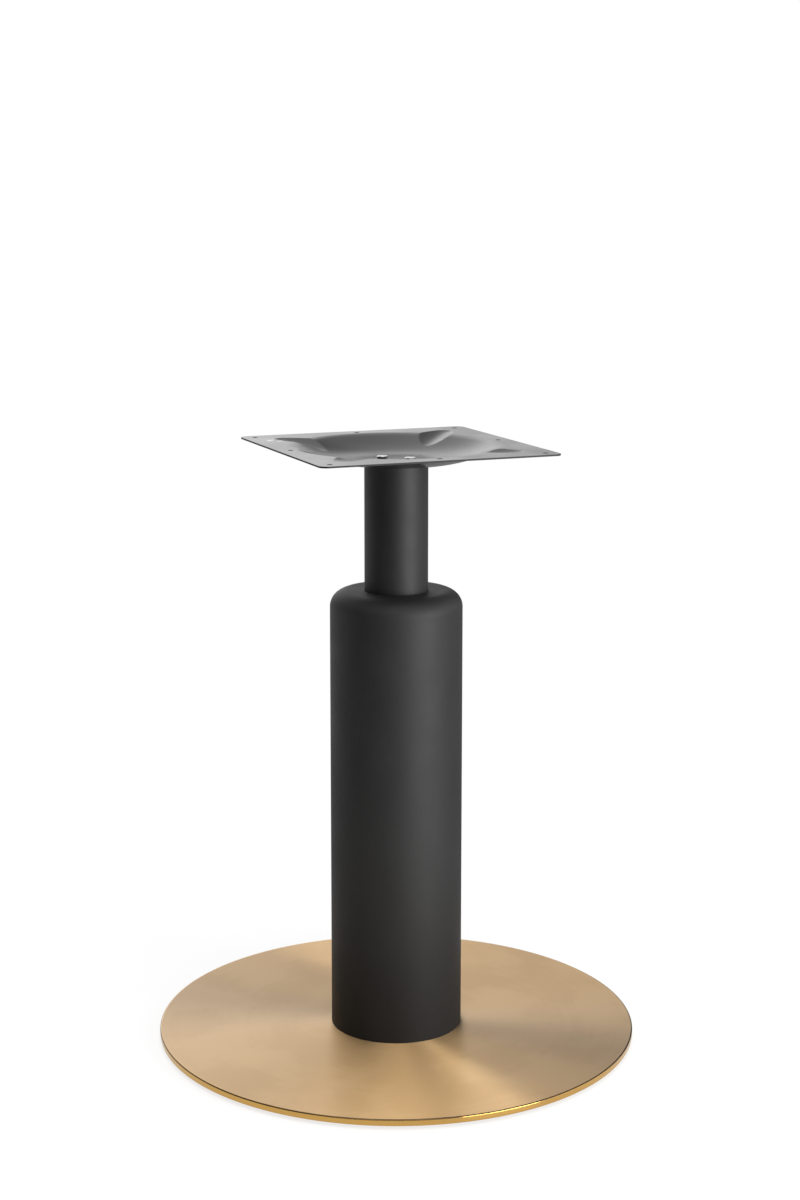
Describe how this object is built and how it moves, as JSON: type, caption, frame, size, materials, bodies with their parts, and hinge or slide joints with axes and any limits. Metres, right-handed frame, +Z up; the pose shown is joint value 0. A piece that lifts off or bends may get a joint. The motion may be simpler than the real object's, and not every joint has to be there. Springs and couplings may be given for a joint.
{
  "type": "pedestal table base",
  "caption": "Pedestal table base: brushed brass-tone disc foot, wide black column with rounded shoulder and slim neck, and a pressed square top plate with screw holes.",
  "frame": {"origin": "on the floor, under the column's axis", "axes": "+Z up along the column, X and Y along the sides of the square top plate"},
  "size_m": [0.58, 0.58, 0.725],
  "materials": {
    "brushed_brass": "circular brushed",
    "black_powder_coat": "satin fine-texture powder coat",
    "raw_steel": "mill",
    "zinc_plating": "bright zinc",
    "black_nylon": "moulded"
  },
  "bodies": {
    "root": {"base_cover": "brushed_brass", "column_tube": "black_powder_coat", "column_sleeve": "black_powder_coat", "top_plate": "black_powder_coat", "base_weight": "raw_steel", "foot_flange": "raw_steel", "head_plate": "raw_steel", "base_screws": "zinc_plating", "plate_washers": "zinc_plating", "plate_bolts": "zinc_plating", "floor_glide_1": "black_nylon", "floor_glide_2": "black_nylon", "floor_glide_3": "black_nylon", "floor_glide_4": "black_nylon", "floor_glide_5": "black_nylon", "floor_glide_6": "black_nylon"}
  },
  "joints": []
}
